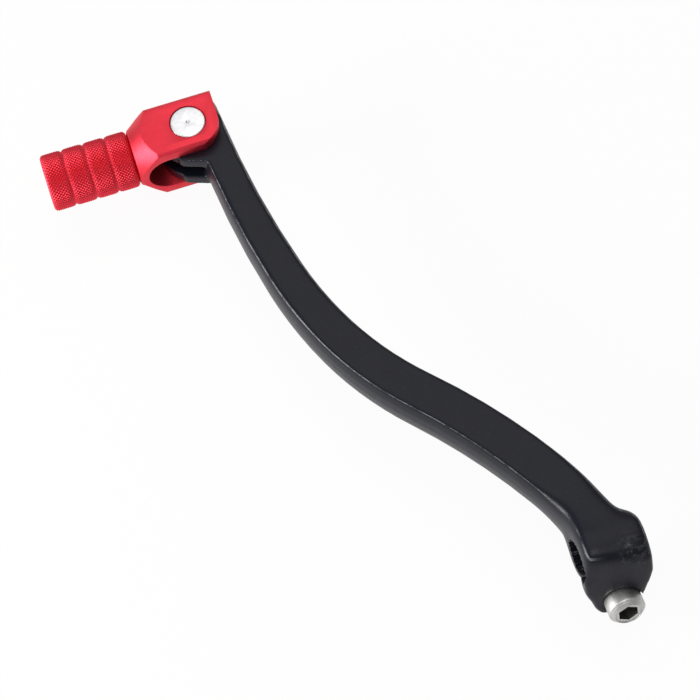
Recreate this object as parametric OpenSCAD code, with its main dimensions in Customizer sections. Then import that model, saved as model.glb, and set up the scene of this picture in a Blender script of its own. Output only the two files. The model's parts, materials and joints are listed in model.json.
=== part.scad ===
// Folding-tip gear shift lever for a motorcycle, in millimetres.
// The origin is the centre of the serrated bore. X runs along the shift shaft, with the foot peg
// on the -X side, +Y runs forward along the lever, and +Z is up, along the peg's fold axis.

/* [Shaft clamp] */
// Diameter of the bore at the tips of its serrations
bore_d = 11.6; // [10:0.1:13]
// Depth of the grooves between the serrations
groove_h = 0.4; // [0.2:0.05:0.6]
// Number of serrations round the bore
groove_n = 24; // [16:1:36]
// Reach of the boss outboard of the lever's middle
boss_out = 10; // [9:0.1:12]
// Reach of the boss inboard of the lever's middle
boss_in = 8.9; // [8.5:0.1:12]
// Outer radius of the boss
boss_r = 10.8; // [9:0.1:13]
// Forward lean of the clamp, from the bore to its lug
clamp_lean = 15; // [0:1:25]
// Width of the saw cut that lets the clamp close
saw_w = 2; // [1:0.1:3]
// Distance from the bore's axis to the pinch bolt's axis
bolt_drop = 11.7; // [11:0.1:14]
// Radius of the lug round the pinch bolt
lug_r = 6.5; // [6.2:0.1:8]
// Offset of the pinch bolt outboard of the lever's middle
bolt_out = 0.3; // [0:0.1:1]
// Offset of the lug outboard of the pinch bolt
lug_out = 1.2; // [0:0.1:1.5]
// From the bore's axis to the lug's rear face, under the bolt's head
lug_rear = 8.1; // [7.5:0.1:9.4]
// From the bore's axis to the lug's front face
lug_ahead = 9; // [8:0.1:10]
// Skew of the rear face in plan
face_skew = 9; // [0:1:12]

/* [Pinch bolt] */
// Thread size of the pinch bolt
bolt_d = 6; // [5:0.5:6]
// Diameter of the bolt's head
head_d = 10; // [9:0.1:10.5]
// Height of the bolt's head
head_h = 6; // [5:0.1:7]
// Width across the flats of the hexagon socket
hex_af = 5; // [4:0.5:5]
// Depth of the hexagon socket
hex_h = 3.2; // [2:0.1:4]
// Length of the bolt under its head
bolt_l = 16; // [12:1:20]
// Depth of the counterbore that the head sits in
sink_h = 1.7; // [1:0.1:3]

/* [Arm] */
// Thickness of the arm
arm_t = 13; // [11:0.1:15]
// Half width of the arm where it leaves the boss
arm_w_root = 6.75; // [5.5:0.05:8]
// Half width that swells the middle of the arm
arm_w_mid = 6.9; // [5.5:0.05:8]
// Half width of the arm at its eye
arm_w_eye = 5.2; // [4.6:0.05:6]
// Draft that lets the forging leave its die
draft = 7; // [3:0.5:9]
// Radius of the forging's edges
edge_r = 0.9; // [0.4:0.1:1.6]
// Length over which the arm swells into the boss
root_l = 17; // [10:1:20]
// Radius of the bend at the boss
bend1_r = 73; // [60:1:90]
// Turn of the bend at the boss
bend1_a = 23; // [18:0.5:28]
// Radius of the easy second bend
bend2_r = 184; // [150:1:220]
// Turn of the second bend
bend2_a = 12.7; // [9:0.1:16]
// Radius of the knee, which bends the other way
bend3_r = 94; // [80:1:120]
// Turn of the knee
bend3_a = 17.5; // [13:0.5:22]
// Radius of the bend beyond the knee
bend4_r = 115; // [95:1:140]
// Turn of the bend beyond the knee
bend4_a = 12; // [8:0.5:16]
// Radius of the last bend, which straightens towards the eye
bend5_r = 294; // [240:1:350]
// Turn of the last bend
bend5_a = 7.8; // [5:0.1:10]

/* [Eye] */
// Distance from the end of the last bend forward to the pivot
eye_ahead = 12.95; // [10:0.05:15]
// Offset of the pivot to the peg's side of the arm
eye_out = 5.1; // [4.5:0.1:6.5]
// Radius of the eye round the pivot, on the side that the tip folds past
eye_r = 9.6; // [9:0.05:9.7]
// Half width of the eye's square nose, which stops the tip from folding forwards
nose_half = 7; // [6:0.1:7.5]
// Reach of the arm's heel ahead of the pivot
heel_y = 7.4; // [6:0.1:8]
// Reach of the tongue behind the pivot, on its peg side
tongue_back = 9.3; // [9:0.1:9.5]
// Reach of the tongue to the peg's side
tongue_out = 4.6; // [4:0.1:4.8]
// Running gap between moving faces
run_gap = 0.3; // [0.15:0.05:0.4]
// Gap left at the faces that stop the peg
stop_gap = 0.1; // [0.05:0.05:0.2]

/* [Folding tip] */
// Diameter of the bar that the tip is turned from
bar_d = 25.4; // [24:0.1:27]
// Thickness across the tip's two flats
tip_t = 20.8; // [19.5:0.1:22]
// Radius of the ears round the pivot
ear_r = 8.6; // [8:0.1:9.5]
// Distance from the pivot to the flats milled on the tip's two sides
ear_half = 8.2; // [7.8:0.1:8.6]
// Distance from the pivot to the deepest point of the slot
slot_deep = 14.8; // [13.5:0.1:15.5]
// Distance from the pivot to where the flare starts
flare_start = 10.9; // [9:0.1:12]
// Distance from the pivot to the first ring of the peg
peg_start = 17.6; // [17:0.1:20]
// Pitch of the peg's rounded bands
band_pitch = 6.28; // [5:0.02:8]
// Number of bands on the peg
band_n = 4; // [3:1:6]
// Diameter of the peg over its bands
peg_d = 16.5; // [14:0.1:18]
// Depth of the grooves between the bands
band_h = 0.6; // [0.4:0.05:1.2]

/* [Pivot and spring] */
// Diameter of the pivot pin
pin_d = 6.5; // [6:0.1:7]
// Radial clearance of the pin in the eye
pin_gap = 0.05; // [0.02:0.01:0.1]
// Diameter of the pin's head
pin_head_d = 10.1; // [9:0.1:11]
// Height of the pin's head
pin_head_h = 1.6; // [1:0.1:2]
// Gap round the pin's head, which shows as a dark ring
head_gap = 0.15; // [0.05:0.05:0.3]
// Diameter of the pin's spread lower end
flare_d = 8.6; // [8:0.1:9]
// Wire diameter of the return spring
wire_d = 1.6; // [1.2:0.1:1.8]
// Gap between the pin and the inside of the spring's turns
coil_gap = 0.35; // [0.2:0.05:0.6]
// Number of turns of the return spring
coil_n = 2; // [1:1:2]
// Length of the spring's lower leg, which bears on the side of its pocket
leg_l = 8; // [6:0.1:8.5]

/* [Hidden] */
$fn = 64;
far = 60;                 // longer than any cut has to be
pin_fit = 0.02;           // radial clearance where the pin is driven through the ears
seat = 0.02;              // gap between faces that bear on each other
thread_gap = 0.03;        // radial gap that stands for the bolt's threads
shank_gap = 0.3;          // clearance of the bolt in the jaw under its head
head_clear = 0.25;        // clearance of the bolt's head in its counterbore
crown_under = 0.25;       // how far the arm's root stays under the boss's round top
leave_a = 8;              // angle past the crown at which the arm leaves the boss
root_inset = 0.7;         // how far the arm's root stays inside the boss's inboard face
boss_round = 6.4;         // radius of the boss's corner in plan, at the arm's inner edge
boss_round_y = 2.4;       // where that corner's centre lies ahead of the bore
waist_out = -0.55 * bolt_drop;   // height at which the boss's outboard side narrows to the lug
waist_in = -0.06 * bolt_drop;    // the same on its inboard side
lug_break = 3;                   // break along the lug's lower rear edge
lug_slope = 35;                  // slope of that break
tongue_break = 0.5;       // break at the tongue's corner
tongue_in = 1.7;          // where the tongue's rear edge meets the arm's side
tongue_slant = 2.4;       // how much further back that end of the edge lies
leg_hole_gap = 0.2;       // radial clearance of the spring's upper leg in the tip
leg_hole_h = 3;           // depth of that hole beyond the slot
coil_pitch = wire_d + 0.05;
coil_r = pin_d / 2 + coil_gap + wire_d / 2;   // radius of the turns, at the wire's middle
pocket_r = coil_r + wire_d / 2 + run_gap;     // radius of the pocket round the spring
coil_turn = 360 * coil_n + 90;                // angle from the lower leg to the upper one
coil_rise = coil_pitch * coil_turn / 360;
pocket_h = coil_rise + wire_d + run_gap;

// The arm's centre line: each bend is [radius, turn], with a positive turn to the left.
arm_start = [0, -3, 97];
bends = [[bend1_r, bend1_a], [bend2_r, bend2_a], [bend3_r, -bend3_a], [bend4_r, -bend4_a],
         [bend5_r, -bend5_a]];
step_a = 2.6;             // turn between two rings of the arm
half_t = arm_t / 2;
slot_r = half_t + run_gap;       // half the height of the tip's slot

// Position and heading after turning by t degrees on radius r
function travel(p, r, t) = let (s = t < 0 ? -r : r)
    [p[0] + s * (sin(p[2] + t) - sin(p[2])), p[1] - s * (cos(p[2] + t) - cos(p[2])), p[2] + t];
function bend_start(i) = i == 0 ? arm_start : travel(bend_start(i - 1), bends[i - 1][0], bends[i - 1][1]);
function arc_length(r, t) = r * abs(t) * PI / 180;
function length_to(i) = i == 0 ? 0 : length_to(i - 1) + arc_length(bends[i - 1][0], bends[i - 1][1]);
function ahead(p, along, left) = [p[0] + along * cos(p[2]) - left * sin(p[2]),
                                  p[1] + along * sin(p[2]) + left * cos(p[2]), p[2]];

bends_end = bend_start(len(bends));
bends_l = length_to(len(bends));
pivot = ahead(bends_end, eye_ahead, eye_out);
heel_l = eye_ahead + heel_y + 1;   // straight stretch that ends as the eye's heel

// Rings of the arm: [x, y, heading, distance from the boss]
stations = concat(
    [for (i = [0:len(bends) - 1]) let (n = ceil(abs(bends[i][1]) / step_a), p = bend_start(i))
        for (j = [0:n - 1]) let (t = bends[i][1] * j / n)
            concat(travel(p, bends[i][0], t), [length_to(i) + arc_length(bends[i][0], t)])],
    [for (j = [0:3]) concat(ahead(bends_end, heel_l * j / 3, 0), [bends_l + heel_l * j / 3])]);

function arm_half_w(s) = let (u = min(s / bends_l, 1), swell = max(1 - s / root_l, 0))
    arm_w_root * (1 - u) * (1 - u) + 2 * arm_w_mid * u * (1 - u) + arm_w_eye * u * u
    + (boss_in - root_inset - arm_w_root) * pow(swell, 1.6);
// Half the arm's height: it lies just under the boss's round top, leaves it without a corner at
// leave_a past the crown, and runs down to the arm's own height
function crown(y) = sqrt(boss_r * boss_r - y * y) - crown_under;
function arm_half_t(s) =
    let (y = s + arm_start[1], y1 = boss_r * sin(leave_a), run = 1.4 * root_l, u = (y - y1) / run)
    u < 0 ? crown(y)
    : u > 1 ? half_t
    : (2 * u * u * u - 3 * u * u + 1) * crown(y1) + (3 * u * u - 2 * u * u * u) * half_t
      - (u * u * u - 2 * u * u + u) * tan(leave_a) * run;

// One quarter of the arm's section, from the middle of its top round to its parting line
function quarter(w, t) = let (top = w - t * tan(draft), r = edge_r)
    [[top - r, t], [top - r * 0.3, t - r * 0.3], [top, t - r], [(top + w) / 2 + 0.15, t / 2], [w, 0]];
function section(w, t) = let (q = quarter(w, t), n = len(q) - 1)
    concat([for (i = [0:n]) q[i]], [for (i = [n - 1:-1:0]) [q[i][0], -q[i][1]]],
           [for (i = [0:n]) [-q[i][0], -q[i][1]]], [for (i = [n - 1:-1:0]) [-q[i][0], q[i][1]]]);
function place(st, q) = let (c = ahead(st, 0, -q[0])) [c[0], c[1], q[1]];

// A closed skin over rings of points; each ring has the same number of points
module skin(rings) {
    m = len(rings[0]);
    last = len(rings) - 1;
    polyhedron(
        points = [for (ring = rings) each ring],
        faces = concat(
            [[for (k = [0:m - 1]) k]],
            [[for (k = [m - 1:-1:0]) last * m + k]],
            [for (i = [0:last - 1], k = [0:m - 1]) let (k2 = (k + 1) % m)
                each [[i * m + k, (i + 1) * m + k, i * m + k2],
                      [i * m + k2, (i + 1) * m + k, (i + 1) * m + k2]]]),
        convexity = 6);
}

module swept_arm() {
    skin([for (st = stations) [for (q = section(arm_half_w(st[3]), arm_half_t(st[3]))) place(st, q)]]);
}

// Leans with the clamp what is drawn upright
module clamp_frame() rotate([-clamp_lean, 0, 0]) children();

// The boss and its lug: one block shaped from the side and from the front, drafted each way from
// the parting line, and rounded in plan where the arm's inner edge flows into it
module boss() {
    intersection() {
        clamp_frame() intersection() {
            boss_side();
            boss_front();
        }
        boss_draft();
        boss_plan();
    }
}
module boss_side() {
    low = -bolt_drop - lug_r;
    difference() {
        union() {
            rotate([0, 90, 0]) cylinder(r = boss_r, h = far, center = true);
            translate([-far / 2, -boss_r, low]) cube([far, boss_r + lug_ahead, -low]);
        }
        rotate([0, 0, -face_skew]) translate([-far / 2, -far - lug_rear, -far / 2])
            cube([far, far, far]);
        translate([0, lug_break - lug_rear, low]) rotate([0, 0, -face_skew]) rotate([-lug_slope, 0, 0])
            translate([-far / 2, -far / 2, -far]) cube([far, far, far]);
    }
}
module boss_front() {
    left = -bolt_out - lug_out - lug_r;
    right = left + 2 * lug_r;
    rotate([90, 0, 0]) linear_extrude(height = far, center = true) {
        polygon([[-far, far], [-far, waist_out], [-boss_out, waist_out], [left, -bolt_drop],
                 [right, -bolt_drop], [boss_in, waist_in], [far, waist_in], [far, far]]);
        translate([left + lug_r, -bolt_drop]) circle(r = lug_r);
    }
}
module boss_draft() {
    out = boss_r * tan(draft + 2);
    rotate([90, 0, 0]) linear_extrude(height = far, center = true)
        polygon([[-boss_out, 0], [-boss_out + out, boss_r], [-boss_out + out, far], [boss_in, far],
                 [boss_in, -far], [-boss_out + out / 2, -far], [-boss_out + out / 2, -boss_r]]);
}
// Seen from above, rounded where the arm flows in
module boss_plan() {
    linear_extrude(height = far, center = true) {
        translate([-far, -far]) square([2 * far, far + boss_round_y]);
        translate([-far, -1]) square([far, far]);
        translate([boss_in - boss_round, boss_round_y]) circle(r = boss_round);
        translate([-1, -1]) square([boss_in - boss_round + 1, boss_round + boss_round_y + 1]);
    }
}

// The serrated bore, the saw cut below it, and the pinch bolt's hole and counterbore
module clamp_cuts() {
    rotate([0, 90, 0]) cylinder(d = bore_d, h = far, center = true);
    for (i = [0:groove_n - 1]) rotate([360 * (i + 0.5) / groove_n, 0, 0]) serration_groove();
    clamp_frame() {
        translate([-far / 2, -saw_w / 2, -far]) cube([far, saw_w, far]);
        translate([-bolt_out, 0, -bolt_drop]) rotate([90, 0, 0]) {
            cylinder(d = bolt_d + 2 * thread_gap, h = far, center = true);
            cylinder(d = bolt_d + 2 * shank_gap, h = far);
            translate([0, 0, lug_rear - sink_h]) cylinder(d = head_d + 2 * head_clear, h = far);
        }
    }
}

// One groove of the serrations, a trapezium that narrows outwards
module serration_groove() {
    r = bore_d / 2;
    half = PI * bore_d / groove_n * 0.27;
    rotate([90, 0, 90]) linear_extrude(height = far, center = true)
        polygon([[r - groove_h, -half * 1.15], [r + groove_h, -half * 0.45],
                 [r + groove_h, half * 0.45], [r - groove_h, half * 1.15]]);
}

// The eye: round where the tip folds past it, with a tongue behind and a square nose ahead. The
// nose stands against the end of the tip's slot, so the peg can't fold forwards.
nose_x = -slot_deep + slot_r - sqrt(slot_r * slot_r - half_t * half_t) + stop_gap;
module eye_blank() {
    translate([0, 0, -half_t]) {
        cylinder(r = eye_r, h = arm_t);
        translate([nose_x, 0, 0]) cube([-nose_x, nose_half, arm_t]);
        linear_extrude(height = arm_t)
            polygon([[-tongue_out - 2 * tongue_break, -tongue_back + 2 * tongue_break],
                     [-tongue_out, -tongue_back], [tongue_in, -tongue_back - tongue_slant],
                     [tongue_in + eye_out, -tongue_back], [eye_out, 0], [0, 0]]);
    }
}

// The pocket for the spring, open to the peg's side and to the rear
module spring_pocket() {
    translate([-far + 1, -far / 2, -pocket_h / 2]) cube([far, far, pocket_h]);
    cylinder(r = pocket_r, h = pocket_h, center = true);
    translate([0, -tongue_back, -pocket_h / 2]) cube([pocket_r, tongue_back, pocket_h]);
}

module lever_arm() {
    color("#2b2d30") difference() {
        union() {
            swept_arm();
            boss();
            translate([pivot[0], pivot[1], 0]) eye_blank();
        }
        clamp_cuts();
        translate([pivot[0], pivot[1], 0]) {
            cylinder(d = pin_d + 2 * pin_gap, h = far, center = true);
            translate([-far / 2, heel_y, -far / 2]) cube([far, far, far]);
            spring_pocket();
        }
    }
}

// Outline of the turned tip: [radius, distance outboard of the pivot]
flare_n = 6;              // steps in the flare
flare_power = 1.15;       // how late the flare opens out
band_pts = 8;             // steps across one band
neck_r = peg_d / 2 - band_h;
peg_end = peg_start + band_n * band_pitch;
function flare(u) = [neck_r + (bar_d / 2 - neck_r) * pow(u, flare_power),
                     peg_start + (flare_start - peg_start) * u];
function band(i, u) = [peg_d / 2 - band_h * pow(abs(2 * u - 1), 7), peg_start + (i + u) * band_pitch];
tip_outline = concat(
    [[0, -ear_r], [bar_d / 2, -ear_r]],
    [for (k = [flare_n:-1:0]) flare(k / flare_n)],
    [for (i = [0:band_n - 1], k = [1:band_pts]) band(i, k / band_pts)],
    [[0, peg_end]]);

// The slot is milled through from side to side, so its outboard end is round
module tip_slot() {
    translate([-slot_deep + slot_r, -far / 2, 0]) {
        translate([0, 0, -slot_r]) cube([far, far, 2 * slot_r]);
        rotate([-90, 0, 0]) cylinder(r = slot_r, h = far);
    }
}

// The ears are rounded about the pivot behind, and the tip's two sides are milled flat
module ear_rounding() {
    translate([0, 0, -far / 2]) {
        difference() {
            translate([0, -far, 0]) cube([far, far, far]);
            cylinder(r = ear_r, h = far);
        }
        for (side = [0, 1]) mirror([0, side, 0])
            translate([-peg_start, ear_half, 0]) cube([far, far, far]);
    }
}

flare_h = (flare_d - pin_d) / 2;  // height of the pin's spread end, at 45 degrees
leg_z = coil_rise / 2;            // height of the spring's upper leg
module tip_pin_holes() {
    top = tip_t / 2;
    translate([-slot_deep - leg_hole_h, coil_r, leg_z]) rotate([0, 90, 0])
        cylinder(d = wire_d + 2 * leg_hole_gap, h = slot_deep);
    cylinder(d = pin_d + 2 * pin_fit, h = far, center = true);
    translate([0, 0, top - pin_head_h - seat]) cylinder(d = pin_head_d + 2 * head_gap, h = far);
    translate([0, 0, -top - seat])
        cylinder(r1 = flare_d / 2 + 2 * seat, r2 = pin_d / 2 + pin_fit, h = flare_h + 2 * seat);
}

module folding_tip() {
    color("#d9303a") translate([pivot[0], pivot[1], 0]) difference() {
        intersection() {
            rotate([0, -90, 0]) rotate_extrude() polygon(tip_outline);
            cube([2 * far, 2 * far, tip_t], center = true);
        }
        tip_slot();
        ear_rounding();
        tip_pin_holes();
    }
}

// The pin: a flat head with a turning centre, a plain shank, and a lower end spread into the ear
pin_edge = 0.3;           // chamfer round the head
centre_r = 0.5;           // radius of the turning centre
module pivot_pin() {
    top = tip_t / 2;
    color("#dcdcdc") translate([pivot[0], pivot[1], 0]) rotate_extrude()
        polygon([[0, -top], [flare_d / 2, -top], [pin_d / 2, -top + flare_h],
                 [pin_d / 2, top - pin_head_h], [pin_head_d / 2, top - pin_head_h],
                 [pin_head_d / 2, top - pin_edge], [pin_head_d / 2 - pin_edge, top],
                 [centre_r, top], [0, top - centre_r]]);
}

// The torsion spring's path: lower leg, turns, upper leg
coil_steps = 20;          // rings in one turn
wire_sides = 8;
function on_coil(a) = [coil_r * cos(a), coil_r * sin(a), coil_rise * (a / coil_turn - 0.5), a];
function lower_leg(u) = let (p = on_coil(0)) [p[0], p[1] - leg_l * (1 - u), p[2], 0];
upper_l = slot_deep + leg_hole_h - 1;
function upper_leg(u) = let (p = on_coil(coil_turn)) [p[0] - upper_l * u, p[1], p[2], coil_turn];
coil_rings = ceil(coil_turn / 360 * coil_steps);
spring_path = concat([lower_leg(0)], [for (k = [0:coil_rings]) on_coil(coil_turn * k / coil_rings)],
                     [upper_leg(1)]);
// A ring of the wire, in the upright plane through the coil's axis
function wire_ring(p) = [for (k = [0:wire_sides - 1]) let (b = 360 * k / wire_sides, w = wire_d / 2)
    [p[0] + w * cos(b) * cos(p[3]), p[1] + w * cos(b) * sin(p[3]), p[2] - w * sin(b)]];

module return_spring() {
    color("#8f8f92") translate([pivot[0], pivot[1], 0]) skin([for (p = spring_path) wire_ring(p)]);
}

// The pinch bolt, drawn along its axis with its seat at zero, then set in the clamp
head_edge = 1.3;          // chamfer round the head's outer end
end_edge = 0.5;           // chamfer at the bolt's other end
module pinch_bolt() {
    color("#c9cacc") clamp_frame() translate([-bolt_out, sink_h - lug_rear - seat, -bolt_drop])
        rotate([90, 0, 0]) difference() {
            rotate_extrude()
                polygon([[0, -bolt_l], [bolt_d / 2 - end_edge, -bolt_l], [bolt_d / 2, end_edge - bolt_l],
                         [bolt_d / 2, 0], [head_d / 2, 0], [head_d / 2, head_h - head_edge],
                         [head_d / 2 - head_edge, head_h], [0, head_h]]);
            translate([0, 0, head_h - hex_h]) cylinder(r = hex_af / sqrt(3), h = far, $fn = 6);
        }
}

lever_arm();
folding_tip();
pivot_pin();
return_spring();
pinch_bolt();
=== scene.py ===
# %% [markdown]
# # A folding gear shift lever
# The lever is one aluminium forging that clamps on the gearbox's serrated shaft. A turned, red
# anodised tip folds back on a pin when it strikes a rock, and a torsion spring brings it out
# again. The CAD solids give every size and place. This lesson adds what the hand and the eye
# find on the real thing: softened forged corners, the diamond knurl, the bolt's thread, and
# finishes that catch the light.

# %% Load the frame
import json
import math

import bpy
from mathutils import Matrix, Vector


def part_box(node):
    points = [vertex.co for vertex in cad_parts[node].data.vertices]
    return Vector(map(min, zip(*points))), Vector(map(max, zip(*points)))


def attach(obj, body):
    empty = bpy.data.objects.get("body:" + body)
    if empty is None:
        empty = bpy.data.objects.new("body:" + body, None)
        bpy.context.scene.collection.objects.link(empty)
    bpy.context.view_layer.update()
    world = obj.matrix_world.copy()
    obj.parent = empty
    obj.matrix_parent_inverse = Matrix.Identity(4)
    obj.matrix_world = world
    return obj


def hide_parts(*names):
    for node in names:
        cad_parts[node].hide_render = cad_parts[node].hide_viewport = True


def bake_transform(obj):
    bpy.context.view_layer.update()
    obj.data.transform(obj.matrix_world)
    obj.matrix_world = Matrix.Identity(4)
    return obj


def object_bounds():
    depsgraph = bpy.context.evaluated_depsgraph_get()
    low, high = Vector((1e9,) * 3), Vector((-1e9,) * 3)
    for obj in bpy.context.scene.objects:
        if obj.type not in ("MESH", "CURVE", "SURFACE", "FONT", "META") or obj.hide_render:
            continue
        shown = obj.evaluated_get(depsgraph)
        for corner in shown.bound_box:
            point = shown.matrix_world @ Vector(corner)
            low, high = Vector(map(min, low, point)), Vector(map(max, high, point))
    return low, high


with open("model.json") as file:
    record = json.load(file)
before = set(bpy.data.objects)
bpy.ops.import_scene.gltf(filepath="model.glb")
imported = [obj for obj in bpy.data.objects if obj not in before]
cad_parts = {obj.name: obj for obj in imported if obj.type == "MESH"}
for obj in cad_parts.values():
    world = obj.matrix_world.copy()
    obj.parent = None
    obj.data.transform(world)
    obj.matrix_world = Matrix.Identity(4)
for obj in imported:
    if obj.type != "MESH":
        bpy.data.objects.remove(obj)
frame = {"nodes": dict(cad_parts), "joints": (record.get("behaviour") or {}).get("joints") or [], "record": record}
cad_bounds = [list(corner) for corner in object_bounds()]
MM = 0.001
record = frame["record"]
pivot = Vector(frame["joints"][0]["pos_m"])
bore_r = record["mounts"][0]["dims"]["r_mm"] * MM
bore_l = record["mounts"][0]["dims"]["length_mm"] * MM
print("nodes:", sorted(frame["nodes"]))
print("whole lever, mm:", [[round(v / MM, 1) for v in corner] for corner in cad_bounds])

# %% [markdown]
# ## The view
# The lever lies with its fold axis upright, and the camera looks down on it from behind and a
# little to the side. A long lens keeps the arm's two edges nearly parallel, which is how a small
# product is usually shown. The camera is written as three directions and a place, because that
# says exactly where it looks.

# %% Camera
right = Vector((0.95313, -0.29479, -0.06806))
up = Vector((0.29401, 0.84944, 0.43817))
back = Vector((-0.07135, -0.43764, 0.89630))
camera_place = (-0.0970, -0.2286, 0.6274)
camera_data = bpy.data.cameras.new("camera")
camera_data.lens = 132.68
camera_data.sensor_width = 36
camera_data.clip_start = 0.01
camera = bpy.data.objects.new("camera", camera_data)
turn = Matrix((right, up, back)).transposed().to_4x4()
camera.matrix_world = Matrix.Translation(camera_place) @ turn
bpy.context.scene.collection.objects.link(camera)
bpy.context.scene.camera = camera
print("camera distance to the pivot, mm:", round((camera.location - pivot).length / MM))

# %% [markdown]
# ## Small helpers
# A few jobs come back in every step. `pick` makes one object the only one selected, because an
# operator works on whatever is selected. `settle` puts a finished piece's place into its mesh,
# `joined` makes two pieces one, and `cut` takes one piece away from another. `copy_of` takes a
# CAD solid whose shape is right and merges its loose triangles, so that its edges can be softened.

# %% Helpers for objects
def pick(piece):
    bpy.ops.object.select_all(action="DESELECT")
    piece.select_set(True)
    bpy.context.view_layer.objects.active = piece
    return piece


def settle(piece):
    pick(piece)
    bpy.ops.object.transform_apply(location=True, rotation=True, scale=True)
    return piece


def joined(piece, added):
    pick(piece)
    added.select_set(True)
    bpy.ops.object.join()


def apply_modifier(piece, kind, **settings):
    pick(piece)
    modifier = piece.modifiers.new(kind.lower(), kind)
    for name, value in settings.items():
        setattr(modifier, name, value)
    bpy.ops.object.modifier_apply(modifier=modifier.name)


def cut(piece, cutter):
    apply_modifier(piece, "BOOLEAN", operation="DIFFERENCE", solver="EXACT", object=cutter)
    bpy.data.objects.remove(cutter)


def break_edges(piece, width_mm, over_degrees):
    """A narrow round on every edge that turns by more than this."""
    apply_modifier(piece, "BEVEL", width=width_mm * MM, segments=2, limit_method="ANGLE",
                   angle_limit=math.radians(over_degrees))


def smooth_up_to(piece, degrees):
    pick(piece)
    bpy.ops.object.shade_smooth_by_angle(angle=math.radians(degrees))


def copy_of(node, name):
    piece = bpy.data.objects.new(name, frame["nodes"][node].data.copy())
    piece.data.materials.clear()
    bpy.context.scene.collection.objects.link(piece)
    pick(piece)
    bpy.ops.object.mode_set(mode="EDIT")
    bpy.ops.mesh.select_all(action="SELECT")
    bpy.ops.mesh.remove_doubles(threshold=0.002 * MM)
    bpy.ops.object.mode_set(mode="OBJECT")
    return piece


def merge_flat_faces(piece):
    """Takes the triangles of each flat face back to one face, so that only true edges are left."""
    pick(piece)
    bpy.ops.object.mode_set(mode="EDIT")
    bpy.ops.mesh.select_all(action="SELECT")
    bpy.ops.mesh.dissolve_limited(angle_limit=math.radians(0.5))
    bpy.ops.object.mode_set(mode="OBJECT")


def report(piece):
    print(piece.name, "faces:", len(piece.data.polygons),
          "size, mm:", [round(v / MM, 1) for v in piece.dimensions])


# %% [markdown]
# ## Helpers for finishes
# A paint chip is written as an sRGB hex value, but a shader counts in linear light, so `linear`
# turns the one into the other. `new_material` sets what is the same all over a surface on the
# shader itself. `add_node` adds any other node, sets it and links it. A pattern is given its
# size in millimetres, and `grain_size` turns that into the scale that a texture asks for.

# %% Helpers for materials
def linear(code):
    parts = [int(code[i:i + 2], 16) / 255 for i in (1, 3, 5)]
    return [p / 12.92 if p <= 0.04045 else ((p + 0.055) / 1.055) ** 2.4 for p in parts] + [1]


def new_material(name, **shader):
    """A material whose shader has these settings. Returns it with its node tree and shader."""
    material = bpy.data.materials.new(name)
    material.use_nodes = True
    tree = material.node_tree
    bsdf = tree.nodes["Principled BSDF"]
    for socket, value in shader.items():
        bsdf.inputs[socket.replace("_", " ")].default_value = value
    return material, tree, bsdf


def add_node(tree, kind, inputs=None, **settings):
    node = tree.nodes.new(kind)
    for name, value in settings.items():
        setattr(node, name, value)
    for name, value in (inputs or {}).items():
        if isinstance(value, bpy.types.NodeSocket):
            tree.links.new(value, node.inputs[name])
        else:
            node.inputs[name].default_value = value
    return node


def grain_size(mm):
    """The scale of a noise or cell pattern whose grains are this many millimetres across."""
    return 1 / (mm * MM)


def finish_of(piece, material):
    piece.data.materials.clear()
    piece.data.materials.append(material)


# The colour sockets of a Mix node share their names with the number sockets, so they go by place.
MIX_A, MIX_B, MIX_OUT = 6, 7, 2
print("middle grey #808080 in linear light:", round(linear("#808080")[0], 3))

# %% [markdown]
# ## Black coated forging
# The arm is forged in a die, tumbled, and coated black. The coating is a thin satin layer, so
# the metal's own fine roughness still shows through it as a grain, with shallow waves a few
# millimetres long and a few dusty specks. The real grain is too fine to show from here, so it is
# drawn a third of a millimetre across. All patterns read Object coordinates, so they lie in the
# metal and don't slide when the lever is turned.

# %% Coating: grain, waves and specks
coated_forging, tree, bsdf = new_material(
    "black_coated_forged_aluminium", Metallic=0.0, IOR=1.5, Specular_IOR_Level=0.22)
place_on = add_node(tree, "ShaderNodeTexCoord").outputs["Object"]
grain_mm, wave_mm, speck_mm = 0.35, 6, 1.6
grain = add_node(tree, "ShaderNodeTexNoise", {
    "Vector": place_on, "Scale": grain_size(grain_mm), "Detail": 3.0, "Roughness": 0.6})
wave = add_node(tree, "ShaderNodeTexNoise", {
    "Vector": place_on, "Scale": grain_size(wave_mm), "Detail": 2.0, "Roughness": 0.5})
speck = add_node(tree, "ShaderNodeTexVoronoi", {
    "Vector": place_on, "Scale": grain_size(speck_mm)})
speck_mask = add_node(tree, "ShaderNodeMapRange", {
    "Value": speck.outputs["Distance"], "From Min": 0.05, "From Max": 0.12,
    "To Min": 0.5, "To Max": 0.0})
print("grain, mm:", grain_mm, "waves, mm:", wave_mm, "room for each speck, mm:", speck_mm)
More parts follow.
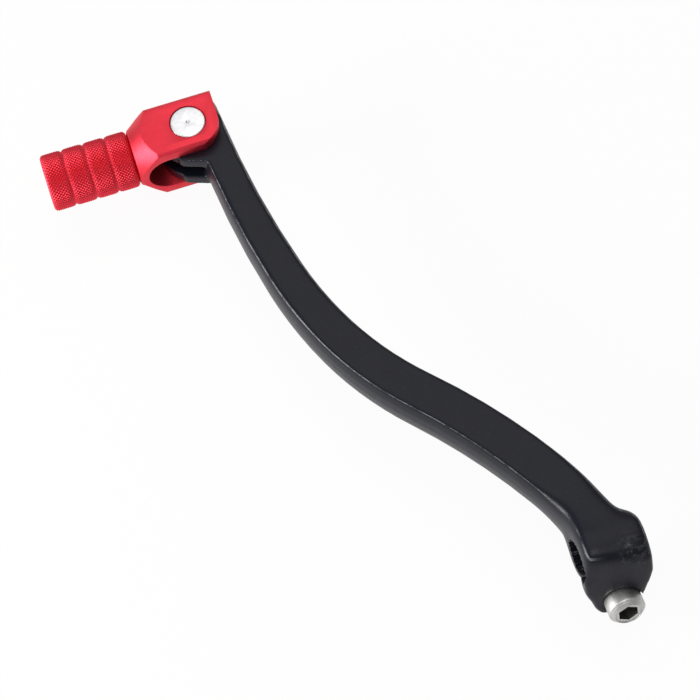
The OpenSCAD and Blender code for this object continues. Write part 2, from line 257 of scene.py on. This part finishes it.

# %% [markdown]
# ### Rubbed corners and a painted edge highlight
# Corners rub through a little and turn grey, and those on top rub through most. The same grey on the top's own
# edges is also a painted highlight: it stands in for the bright line that those edges catch from the lamps above.
# So the mask is the product of three things: Pointiness, which is high on a convex edge, a slope between level and
# upright, which finds the top's own edges, and a noise that breaks the line up.

# %% Coating: corners rubbing through, and a painted edge highlight
pointiness = add_node(tree, "ShaderNodeNewGeometry").outputs["Pointiness"]
convex = add_node(tree, "ShaderNodeMapRange", {
    "Value": pointiness, "From Min": 0.506, "From Max": 0.516, "To Min": 0.0, "To Max": 1.0})
normal = add_node(tree, "ShaderNodeTexCoord").outputs["Normal"]
way_up = add_node(tree, "ShaderNodeSeparateXYZ", {"Vector": normal}).outputs["Z"]
slope, slope_either_way, patch_mm = 0.72, 0.09, 3.5
shoulder = add_node(tree, "ShaderNodeMath", {0: way_up, 1: slope, 2: slope_either_way},
                    operation="COMPARE")
patch = add_node(tree, "ShaderNodeTexNoise", {
    "Vector": place_on, "Scale": grain_size(patch_mm), "Detail": 4.0, "Roughness": 0.75})
patchy = add_node(tree, "ShaderNodeMapRange", {
    "Value": patch.outputs["Fac"], "From Min": 0.42, "From Max": 0.62, "To Min": 0.0, "To Max": 0.8})
# Top edges: grey where the coating rubs through, and also a painted highlight where these edges catch the light
# from above.
top_edge = add_node(tree, "ShaderNodeMath", {
    0: convex.outputs["Result"], 1: shoulder.outputs[0]}, operation="MULTIPLY")
rub_and_edge_sheen = add_node(tree, "ShaderNodeMath", {
    0: top_edge.outputs[0], 1: patchy.outputs["Result"]}, operation="MULTIPLY")
print("rubbed where the surface leans, degrees:", round(math.degrees(math.acos(slope))))

# %% [markdown]
# ### Scuffs on the boss
# The top of the boss is scuffed near its rear corner, above the bolt. A distance to one spot
# fades the scuffs out, and a rough noise gives them their ragged shape.

# %% Coating: scuffs
scuff_spot = (4.5 * MM, -4.5 * MM, 8.5 * MM)
scuff_full_r, scuff_end_r, scuff_mm = 1.5 * MM, 6 * MM, 1.3
from_spot = add_node(tree, "ShaderNodeVectorMath", {0: place_on, 1: scuff_spot}, operation="DISTANCE")
near_spot = add_node(tree, "ShaderNodeMapRange", {
    "Value": from_spot.outputs["Value"], "From Min": scuff_full_r, "From Max": scuff_end_r,
    "To Min": 1.0, "To Max": 0.0})
scratched = add_node(tree, "ShaderNodeTexNoise", {
    "Vector": place_on, "Scale": grain_size(scuff_mm), "Detail": 5.0, "Roughness": 0.8})
ragged = add_node(tree, "ShaderNodeMapRange", {
    "Value": scratched.outputs["Fac"], "From Min": 0.5, "From Max": 0.66,
    "To Min": 0.0, "To Max": 0.4})
scuffed = add_node(tree, "ShaderNodeMath", {
    0: ragged.outputs["Result"], 1: near_spot.outputs["Result"]}, operation="MULTIPLY")
# All the grey on the coating: scuffs and corners rubbing through, plus the painted highlight on the top's edges.
wear_and_edge_sheen = add_node(tree, "ShaderNodeMath", {0: rub_and_edge_sheen.outputs[0], 1: scuffed.outputs[0]},
                operation="MAXIMUM")
print("scuffs reach, mm:", scuff_end_r / MM)

# %% [markdown]
# ### Colour and gloss of the coating
# The black leans a little towards blue, and changes from wave to wave. The specks are mixed over it, then a light
# grey for scuffs and for corners that rub through, which on the top's edges is also a painted highlight. The grain
# changes the gloss as well as the surface, because a coating lies duller where it is rough.

# %% Coating: colour, gloss and surface
tone = add_node(tree, "ShaderNodeMix", {
    "Factor": wave.outputs["Fac"], MIX_A: linear("#0e0f1a"), MIX_B: linear("#151620")},
    data_type="RGBA")
dusty = add_node(tree, "ShaderNodeMix", {
    "Factor": speck_mask.outputs["Result"], MIX_A: tone.outputs[MIX_OUT],
    MIX_B: linear("#3a3b40")}, data_type="RGBA")
# Light grey: bare metal where the coating rubs through, and on the top's edges a painted highlight as well.
worn_and_sheen_mix = add_node(tree, "ShaderNodeMix", {
    "Factor": wear_and_edge_sheen.outputs[0], MIX_A: dusty.outputs[MIX_OUT], MIX_B: linear("#7d7e84")},
    data_type="RGBA")
tree.links.new(worn_and_sheen_mix.outputs[MIX_OUT], bsdf.inputs["Base Color"])
gloss = add_node(tree, "ShaderNodeMapRange", {
    "Value": grain.outputs["Fac"], "From Min": 0.3, "From Max": 0.7, "To Min": 0.27, "To Max": 0.4})
tree.links.new(gloss.outputs["Result"], bsdf.inputs["Roughness"])
waves = add_node(tree, "ShaderNodeBump", {
    "Height": wave.outputs["Fac"], "Strength": 0.25, "Distance": 0.25 * MM})
bumps = add_node(tree, "ShaderNodeBump", {
    "Height": grain.outputs["Fac"], "Strength": 0.22, "Distance": 0.04 * MM,
    "Normal": waves.outputs["Normal"]})
tree.links.new(bumps.outputs["Normal"], bsdf.inputs["Normal"])
print("nodes in the coating:", len(tree.nodes))

# %% [markdown]
# ## Red anodised aluminium
# Anodising grows a clear dyed skin on bare aluminium, so the metal shines through the dye and
# every highlight is tinted. The bar was turned and then etched, which leaves a satin surface
# with very fine grain. It is drawn nearly a fifth of a millimetre across, coarser than it is, so
# that it shows.

# %% Material: red anodised aluminium
red_anodised, tree, bsdf = new_material("red_anodised_aluminium", Metallic=1.0)
place_on = add_node(tree, "ShaderNodeTexCoord").outputs["Object"]
etch_mm, dye_mm = 0.18, 4
etch = add_node(tree, "ShaderNodeTexNoise", {
    "Vector": place_on, "Scale": grain_size(etch_mm), "Detail": 2.0, "Roughness": 0.6})
dye = add_node(tree, "ShaderNodeTexNoise", {
    "Vector": place_on, "Scale": grain_size(dye_mm), "Detail": 2.0, "Roughness": 0.5})
red = add_node(tree, "ShaderNodeMix", {
    "Factor": dye.outputs["Fac"], MIX_A: linear("#df3746"), MIX_B: linear("#e94452")},
    data_type="RGBA")
tree.links.new(red.outputs[MIX_OUT], bsdf.inputs["Base Color"])
satin = add_node(tree, "ShaderNodeMapRange", {
    "Value": etch.outputs["Fac"], "From Min": 0.3, "From Max": 0.7, "To Min": 0.44, "To Max": 0.56})
tree.links.new(satin.outputs["Result"], bsdf.inputs["Roughness"])
etched = add_node(tree, "ShaderNodeBump", {
    "Height": etch.outputs["Fac"], "Strength": 0.2, "Distance": 0.02 * MM})
tree.links.new(etched.outputs["Normal"], bsdf.inputs["Normal"])
print("etch grain, mm:", etch_mm)

# %% [markdown]
# ## Where the bolt sits
# The clamp leans 15 degrees, so the bolt isn't square to anything else. Its place is worked out
# before its finish, because the rings that a lathe leaves on its head have to run round the
# bolt's own axis. `seat` is the middle of the face under the head, in the clamp's own directions.

# %% Where the bolt sits
head_r, head_h = 5 * MM, 6 * MM
clamp_lean = math.radians(-15)
lean = Matrix.Rotation(clamp_lean, 4, "X")
seat = Vector((-0.3 * MM, -6.4 * MM, -11.7 * MM))
print("bolt's seat, mm:", [round(v / MM, 2) for v in lean @ seat])

# %% [markdown]
# ## Steel
# There are four kinds of steel on the lever, and one of them, the darker steel in the bolt's socket, is painted
# shade rather than a real finish. None is quite even, so each has a faint cloud in its colour and gloss. They
# differ only in their colours, in how rough they are and in the cloud's size, so one function makes them all.

# %% Steel: what they share
def steel(name, light, dark, rough_low, rough_high, cloud_mm):
    material, tree, bsdf = new_material(name, Metallic=1.0)
    place_on = add_node(tree, "ShaderNodeTexCoord").outputs["Object"]
    cloud = add_node(tree, "ShaderNodeTexNoise", {
        "Vector": place_on, "Scale": grain_size(cloud_mm), "Detail": 3.0, "Roughness": 0.6})
    shade = add_node(tree, "ShaderNodeMix", {
        "Factor": cloud.outputs["Fac"], MIX_A: linear(light), MIX_B: linear(dark)},
        data_type="RGBA")
    tree.links.new(shade.outputs[MIX_OUT], bsdf.inputs["Base Color"])
    rough = add_node(tree, "ShaderNodeMapRange", {
        "Value": cloud.outputs["Fac"], "From Min": 0.3, "From Max": 0.7,
        "To Min": rough_low, "To Max": rough_high})
    tree.links.new(rough.outputs["Result"], bsdf.inputs["Roughness"])
    print(name, "roughness:", rough_low, "to", rough_high, "cloud, mm:", cloud_mm)
    return material, tree, bsdf, place_on


# Drawn wire is dark from its heat treatment.
spring_wire = steel("drawn_spring_steel", "#8c8b88", "#6e6d6b",
                    rough_low=0.3, rough_high=0.42, cloud_mm=0.5)[0]
# A darker steel in the socket is painted shade, for the shade that lies deep in the hexagon.
socket_painted_shade = steel("socket_steel_painted_shade", "#7a7773", "#4c4a47",
                     rough_low=0.4, rough_high=0.6, cloud_mm=0.6)[0]

# %% [markdown]
# ### Turned steel, for the pin
# The pin's head is faced in a lathe, and the tool leaves rings around its centre. The wave
# texture makes them, centred on the pin by a Mapping node. Real ones are finer, so they are
# drawn as coarse as they need to be to show.

# %% Steel: the pin
turned_steel, tree, bsdf, place_on = steel(
    "turned_steel", "#eaeaec", "#dededf", rough_low=0.3, rough_high=0.42, cloud_mm=1.2)
pin_ring_mm = 0.22
# At a scale of 1 the wave texture has 20 rings in a radius of tau metres.
one_metre_ring = math.tau / 20
centred = add_node(tree, "ShaderNodeMapping", {"Vector": place_on, "Location": [-c for c in pivot]})
rings = add_node(tree, "ShaderNodeTexWave", {
    "Vector": centred.outputs["Vector"], "Scale": one_metre_ring / (pin_ring_mm * MM),
    "Distortion": 0.3}, wave_type="RINGS", rings_direction="Z")
turned = add_node(tree, "ShaderNodeBump", {
    "Height": rings.outputs["Fac"], "Strength": 0.18, "Distance": 0.02 * MM})
tree.links.new(turned.outputs["Normal"], bsdf.inputs["Normal"])
print("turning rings on the pin, mm apart:", pin_ring_mm)

# %% [markdown]
# ### Zinc plated steel, for the bolt
# Zinc plating is bright but a little cloudy, and the lathe's rings show through it. The bolt's
# coordinates are turned so that their Z axis is the bolt's own. These rings too are drawn
# coarser than real ones, so that they show on such a small head.

# %% Steel: the bolt
zinc_plated, tree, bsdf, place_on = steel(
    "zinc_plated_steel", "#e4e3e1", "#a8a7a5", rough_low=0.36, rough_high=0.58, cloud_mm=0.45)
bolt_ring_mm = 0.45
bolt_turn = (-math.pi / 2 - clamp_lean, 0, 0)
bolt_spot = -(Matrix.Rotation(bolt_turn[0], 3, "X") @ (lean @ seat))
centred = add_node(tree, "ShaderNodeMapping", {
    "Vector": place_on, "Location": bolt_spot, "Rotation": bolt_turn})
rings = add_node(tree, "ShaderNodeTexWave", {
    "Vector": centred.outputs["Vector"], "Scale": one_metre_ring / (bolt_ring_mm * MM),
    "Distortion": 0.6}, wave_type="RINGS", rings_direction="Z")
turned = add_node(tree, "ShaderNodeBump", {
    "Height": rings.outputs["Fac"], "Strength": 0.6, "Distance": 0.05 * MM})
tree.links.new(turned.outputs["Normal"], bsdf.inputs["Normal"])
print("turning rings on the bolt, mm apart:", bolt_ring_mm)

# %% [markdown]
# ## The forged lever
# A forging has no sharp corners, because hot metal doesn't fill them and tumbling rounds what
# is left. The CAD solid has the right sections but meets its boss along a hard line. Here a copy
# is rebuilt as one even skin of small squares. Its bore is plugged first, because a forging
# comes out of the die without one.

# %% Lever: the blank
plug_over_bore, plug_short_by, plug_shift = 1.1 * MM, 1.9 * MM, -0.4 * MM
skin_square = 0.4 * MM
lever = copy_of("lever_arm", "forged_lever")
bpy.ops.mesh.primitive_cylinder_add(
    vertices=48, radius=bore_r + plug_over_bore, depth=bore_l - plug_short_by,
    location=(plug_shift, 0, 0), rotation=(0, math.pi / 2, 0))
plug = settle(bpy.context.object)
joined(lever, plug)
lever.data.remesh_voxel_size = skin_square
lever.data.use_remesh_preserve_attributes = False  # the CAD skin's normals don't suit the new one
bpy.ops.object.voxel_remesh()
report(lever)

# %% [markdown]
# ### Relaxing the skin
# A Smooth modifier pulls each point of the skin towards its neighbours, which rounds corners and
# fills hollows. A vertex group says how much, point by point: fully where the arm leaves the
# boss, nearly so on the boss, more than half on the front half of the arm, which is rounder
# there, and only a little elsewhere. A second pass works on the boss's top and its neck alone,
# because a large round needs many more steps.

# %% Lever: relax the skin
def ramp(value, none_at, full_at):
    """0 at none_at, 1 at full_at, straight between them and level beyond."""
    return max(0.0, min(1.0, (value - none_at) / (full_at - none_at)))


def relax(piece, group, steps, weight_at):
    """Smooths the piece in this many steps, by weight_at(x, y, z), with x, y and z in mm."""
    soft = piece.vertex_groups.new(name=group)
    for v in piece.data.vertices:
        soft.add([v.index], weight_at(*(v.co / MM)), "REPLACE")
    apply_modifier(piece, "SMOOTH", factor=0.5, iterations=steps, vertex_group=group)


root = Vector((0, 10, 4))
root_full, root_fade = 10.5, 35 / 3
elsewhere, on_boss, on_front = 0.12, 0.9, 0.6
boss_end_y = 14
front_rear_end, front_full_from, front_full_to, front_end = 76, 90, 134, 142
neck_low, neck_high, neck_full_y, neck_end_y = -2, 3, 14, 20


def softness(x, y, z):
    to_root = (Vector((x, y, z)) - root).length
    weight = max(elsewhere, ramp(to_root, root_full + root_fade, root_full))
    if y < boss_end_y:
        weight = max(weight, on_boss)
    front = min(ramp(y, front_rear_end, front_full_from), ramp(y, front_end, front_full_to))
    return max(weight, on_front * front)


def neck_softness(x, y, z):
    return ramp(z, neck_low, neck_high) * ramp(y, neck_end_y, neck_full_y)


relax(lever, "soft", steps=100, weight_at=softness)
relax(lever, "neck", steps=120, weight_at=neck_softness)
report(lever)

# %% [markdown]
# ### Machining the blank
# The machined features come last, as they do in the shop, so that they stay crisp. A broach cuts
# the serrations: 24 teeth, so that the lever can be set every 15 degrees. The cutter here is a
# round bar with four points to a tooth, of which two are pulled out.

# %% Lever: the broached bore
teeth, points_per_tooth = 24, 4
groove = 0.4 * MM
bpy.ops.mesh.primitive_cylinder_add(vertices=teeth * points_per_tooth, radius=bore_r,
                                    depth=3 * bore_l, rotation=(0, math.pi / 2, 0))
broach = settle(bpy.context.object)
for v in broach.data.vertices:
    point = round(math.atan2(v.co.z, v.co.y) / math.tau * teeth * points_per_tooth)
    if point % points_per_tooth in (2, 3):
        v.co.yz *= (bore_r + groove) / bore_r
cut(lever, broach)
report(lever)

# %% [markdown]
# ### The saw cut and the bolt's seat
# A saw cut lets the lug close on the shaft. The bolt's head sits in a counterbore, which takes a
# bite out of the lug's rear face. Both lean with the clamp.

# %% Lever: saw cut and bolt seat
saw_width, saw_depth, saw_length = 2 * MM, 40 * MM, 60 * MM
head_gap = 0.06 * MM
bpy.ops.mesh.primitive_cube_add(size=1, location=(0, 0, -saw_depth / 2),
                                scale=(saw_length, saw_width, saw_depth))
saw = settle(bpy.context.object)
saw.data.transform(lean)
cut(lever, saw)
bpy.ops.mesh.primitive_cylinder_add(
    vertices=64, radius=head_r + head_gap, depth=2 * head_h,
    location=seat - Vector((0, head_h, 0)), rotation=(math.pi / 2, 0, 0))
counterbore = settle(bpy.context.object)
counterbore.data.transform(lean)
cut(lever, counterbore)
smooth_up_to(lever, degrees=35)
report(lever)
finish_of(lever, coated_forging)
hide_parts("lever_arm")
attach(lever, "lever")

# %% [markdown]
# ## The red tip
# The tip starts as a round bar. Flats are milled at one end, a slot is milled between them for
# the lever's tongue, and the rest is turned down to the peg. Every edge gets a tiny break so
# that it doesn't cut the boot, and that break is what draws the bright line round each face. The
# copy's own plain peg is drawn in, because a knurled sleeve goes over it.

# %% Tip: body with broken edges
tip = copy_of("folding_tip", "red_tip")
merge_flat_faces(tip)
peg_start = pivot.x - 17.6 * MM
peg_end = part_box("folding_tip")[0].x
peg_length_share, peg_radius_share = 0.94, 0.88
for v in tip.data.vertices:
    if v.co.x < peg_start + 0.2 * MM:
        v.co.x = peg_start + (v.co.x - peg_start) * peg_length_share
        v.co.y = pivot.y + (v.co.y - pivot.y) * peg_radius_share
        v.co.z *= peg_radius_share
break_edges(tip, width_mm=0.22, over_degrees=35)
smooth_up_to(tip, degrees=30)
report(tip)
finish_of(tip, red_anodised)

# %% [markdown]
# ### The diamond knurl
# A knurling tool is two rollers with slanting teeth. Their marks cross, and leave rows of small
# pyramids. So the peg's skin is laid out flat as a grid whose points go up and down by turns,
# and is then rolled round the peg. Each square is split along its two low points, which makes
# true pyramids from very few faces.

# %% A rolled bar
def rolled_bar(name, columns, rows, length, radius_at):
    """A closed round bar along +Z: a flat grid rolled up. radius_at(column, row) is its radius."""
    bpy.ops.object.select_all(action="DESELECT")
    bpy.ops.mesh.primitive_grid_add(x_subdivisions=columns, y_subdivisions=rows, size=1)
    bar = bpy.context.object
    bar.name = name
    for v in bar.data.vertices:
        column = round((v.co.x + 0.5) * columns)
        row = round((v.co.y + 0.5) * rows)
        angle = math.tau * column / columns
        radius = radius_at(column, row)
        v.co = (radius * math.cos(angle), radius * math.sin(angle), length * row / rows)
    bpy.ops.object.mode_set(mode="EDIT")
    bpy.ops.mesh.select_all(action="SELECT")
    bpy.ops.mesh.remove_doubles(threshold=0.001 * MM)
    bpy.ops.mesh.quads_convert_to_tris(quad_method="SHORTEST_DIAGONAL")
    bpy.ops.mesh.fill_holes(sides=0)
    bpy.ops.mesh.select_all(action="SELECT")
    bpy.ops.mesh.normals_make_consistent(inside=False)
    bpy.ops.object.mode_set(mode="OBJECT")
    report(bar)
    return bar


peg_r = 8.16 * MM
knurl_columns = 100
print("diamonds round the peg:", knurl_columns // 2,
      "pitch, mm:", round(math.tau * peg_r / MM / (knurl_columns // 2), 2))

# %% [markdown]
# ### Four bands on the peg
# The knurl has four bands. Each is domed, and the tool doesn't reach into the grooves between
# them, so the pyramids fade out there.

# %% Tip: knurled sleeve
band_count, rows_per_band = 4, 12
knurl_rows = band_count * rows_per_band
end_chamfer, groove_depth = 0.75 * MM, 0.6 * MM
crest, valley = 0.08 * MM, 0.23 * MM


def peg_radius(column, row):
    across = 2 * (row % rows_per_band) / rows_per_band - 1
    if row in (0, knurl_rows):
        return peg_r - end_chamfer
    dome = peg_r - groove_depth * abs(across) ** 7
    if (column + row) % 2 == 0:
        return dome + crest
    return dome - valley * (1 - abs(across) ** 6)


knurl = rolled_bar("knurl", knurl_columns, knurl_rows, peg_start - peg_end, peg_radius)
knurl.rotation_euler = (0, math.pi / 2, 0)
knurl.location = (peg_end, pivot.y, 0)
settle(knurl)
finish_of(knurl, red_anodised)
joined(tip, knurl)
report(tip)
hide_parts("folding_tip")
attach(tip, "tip")

# %% [markdown]
# ## The pivot pin
# The pin has a flat head on top, and its other end is spread into the lower ear so that it
# can't fall out. The CAD solid has its shape, so a copy only gets its sharp rims broken.

# %% Pin
pin = copy_of("pivot_pin", "pivot_pin_turned")
merge_flat_faces(pin)
break_edges(pin, width_mm=0.18, over_degrees=35)
smooth_up_to(pin, degrees=30)
finish_of(pin, turned_steel)
report(pin)
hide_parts("pivot_pin")
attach(pin, "tip")

# %% [markdown]
# ## The torsion spring
# The spring sits round the pin, in a pocket of the lever's eye, with one leg in the lever and one in the tip. As
# the tip folds, its turns wind up.

# %% Spring
spring = copy_of("return_spring", "return_spring_wire")
smooth_up_to(spring, degrees=50)
finish_of(spring, spring_wire)
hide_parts("return_spring")
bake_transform(spring)
report(spring)

# %% [markdown]
# ## The pinch bolt
# The bolt is a socket head cap screw, M6. Its head is a short cylinder with a chamfer all round.
# The end face is inset and pressed in a little, which leaves a raised rim, and the hexagon
# socket is cut last. The head is made upright at the origin, where its measures are plain.

# %% Bolt: head
chamfer, rim, recess = 1.3 * MM, 0.15 * MM, 0.3 * MM
socket_r, socket_depth = 2.5 * MM / math.cos(math.pi / 6), 3.2 * MM
bpy.ops.object.select_all(action="DESELECT")
bpy.ops.mesh.primitive_cylinder_add(vertices=96, radius=head_r, depth=head_h,
                                    location=(0, 0, head_h / 2))
bolt = bpy.context.object
bolt.name = "pinch_bolt_detailed"
settle(bolt)
bpy.ops.object.mode_set(mode="EDIT")
bpy.ops.mesh.select_mode(type="FACE")
bpy.ops.mesh.select_all(action="DESELECT")
bpy.ops.object.mode_set(mode="OBJECT")
for face in bolt.data.polygons:
    face.select = face.normal.z > 0.9
bpy.ops.object.mode_set(mode="EDIT")
bpy.ops.transform.translate(value=(0, 0, -chamfer))
share = (head_r - chamfer) / head_r
bpy.ops.mesh.extrude_region_move(TRANSFORM_OT_translate={"value": (0, 0, chamfer)})
bpy.ops.transform.resize(value=(share, share, 1), center_override=(0, 0, head_h))
bpy.ops.mesh.inset(thickness=rim)
bpy.ops.mesh.extrude_region_move(TRANSFORM_OT_translate={"value": (0, 0, -recess)})
bpy.ops.object.mode_set(mode="OBJECT")
bpy.ops.object.select_all(action="DESELECT")
bpy.ops.mesh.primitive_cylinder_add(vertices=6, radius=socket_r, depth=2 * socket_depth,
                                    location=(0, 0, head_h))
socket = settle(bpy.context.object)
cut(bolt, socket)
break_edges(bolt, width_mm=0.12, over_degrees=30)
smooth_up_to(bolt, degrees=25)
report(bolt)

# %% [markdown]
# ### The thread
# A screw thread is a ridge that climbs one pitch in each turn. On the rolled grid that is a
# slanting wave: its height depends on the row and the column together. The bolt tapers over the
# first turn at its end, so that it can be started in its hole.

# %% Bolt: thread
pitch, bolt_l = 1 * MM, 16 * MM
around, per_turn = 48, 8
thread_rows = round(bolt_l / pitch) * per_turn
thread_r, thread_depth, lead_in = 2.96 * MM, 0.55 * MM, 0.4 * MM


def thread_radius(column, row):
    phase = (row / per_turn - column / around) % 1
    full = min(1.0, row / per_turn)
    return thread_r - thread_depth * abs(2 * phase - 1) - lead_in * (1 - full)


thread = rolled_bar("thread", around, thread_rows, bolt_l, thread_radius)
thread.location.z = -bolt_l
settle(thread)
joined(bolt, thread)
bolt.data.transform(lean @ Matrix.Translation(seat) @ Matrix.Rotation(math.pi / 2, 4, "X"))
print("turns of thread:", thread_rows // per_turn)

# %% [markdown]
# ### The bolt's finish and the painted shade in its socket
# The bolt is bright outside, and its socket gets a darker steel as painted shade. The socket's faces are found by
# their place: they lie past the socket's mouth along the bolt's axis, and no further from it than its corners.

# %% Bolt: finish and painted socket shade
finish_of(bolt, zinc_plated)
# Second slot: the darker steel that paints the shade inside the socket.
bolt.data.materials.append(socket_painted_shade)
mouth_in, socket_reach, corner_margin = 0.5 * MM, 3.4 * MM, 1.02
inward = lean.to_3x3() @ Vector((0, 1, 0))
mouth = lean @ seat - inward * (head_h - mouth_in)
for face in bolt.data.polygons:
    out = face.center - mouth
    from_axis = (out - inward * out.dot(inward)).length
    if 0 < out.dot(inward) < socket_reach and from_axis < socket_r * corner_margin:
        # Painted shade on the socket's faces.
        face.material_index = 1
report(bolt)
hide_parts("pinch_bolt")
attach(bolt, "lever")

# %% [markdown]
# ## The floor
# The lever lies on a white sheet. To the camera the sheet glows nearly white, and in reflections
# about half as much, but the light that bounces off it is that of plain paper. So it still takes
# a faint shadow, and it doesn't act as a lamp under the lever.

# %% Floor
sheet_size, gap_below = 40, 0.1 * MM
white_share, mirrored_share = 0.93, 0.5
floor_z = min(corner[2] for corner in cad_bounds) - gap_below
bpy.ops.mesh.primitive_plane_add(size=sheet_size, location=(0, 0, floor_z))
floor = bpy.context.object
floor.name = "floor"
paper, tree, bsdf = new_material("white_paper", Roughness=0.9)
bsdf.inputs["Base Color"].default_value = linear("#f4f4f4")
rays = add_node(tree, "ShaderNodeLightPath").outputs
mirrored = add_node(tree, "ShaderNodeMath", {0: rays["Is Glossy Ray"], 1: mirrored_share},
                    operation="MULTIPLY")
seen = add_node(tree, "ShaderNodeMath", {0: rays["Is Camera Ray"], 1: mirrored.outputs[0]},
                operation="MAXIMUM")
seen = add_node(tree, "ShaderNodeMath", {0: seen.outputs[0], 1: rays["Is Transmission Ray"]},
                operation="MAXIMUM")
share = add_node(tree, "ShaderNodeMath", {0: seen.outputs[0], 1: white_share},
                 operation="MULTIPLY")
glow = add_node(tree, "ShaderNodeEmission", {"Color": (1, 1, 1, 1), "Strength": 1.0})
sheet = add_node(tree, "ShaderNodeMixShader", {
    0: share.outputs[0], 1: bsdf.outputs[0], 2: glow.outputs[0]})
tree.links.new(sheet.outputs[0], tree.nodes["Material Output"].inputs["Surface"])
finish_of(floor, paper)
print("floor at z, mm:", round(floor_z / MM, 1))

# %% [markdown]
# ## The light
# A broad lamp hangs overhead, a low one stands on the left and lights the arm's side, and a
# smaller one hangs above the shaft's end. A pale sky lights every side, so that none is black.

# %% Light
world = bpy.data.worlds.new("pale_sky")
bpy.context.scene.world = world
world.use_nodes = True
sky = world.node_tree.nodes["Background"]
sky.inputs["Color"].default_value = (1, 1, 1, 1)
sky.inputs["Strength"].default_value = 0.36


def lamp(name, place, target, size, power):
    data = bpy.data.lights.new(name, "AREA")
    data.size = size
    data.energy = power
    obj = bpy.data.objects.new(name, data)
    obj.location = place
    obj.rotation_euler = (Vector(target) - Vector(place)).to_track_quat("-Z", "Y").to_euler()
    bpy.context.scene.collection.objects.link(obj)
    print(name, "lamp, W:", power, "m away:", round((Vector(target) - Vector(place)).length, 2))


lamp("overhead", place=(0.05, 0.45, 0.8), target=(-0.05, 0.08, 0), size=0.8, power=2.3)
lamp("low_left", place=(-0.75, 0.08, 0.16), target=(-0.05, 0.08, 0), size=0.4, power=6)
lamp("front", place=(-0.1, -0.2, 0.88), target=(-0.1, 0.15, 0), size=0.35, power=1.5)
bpy.context.scene.view_settings.view_transform = "Standard"

# %% Finish
print("CAD box:", cad_bounds)
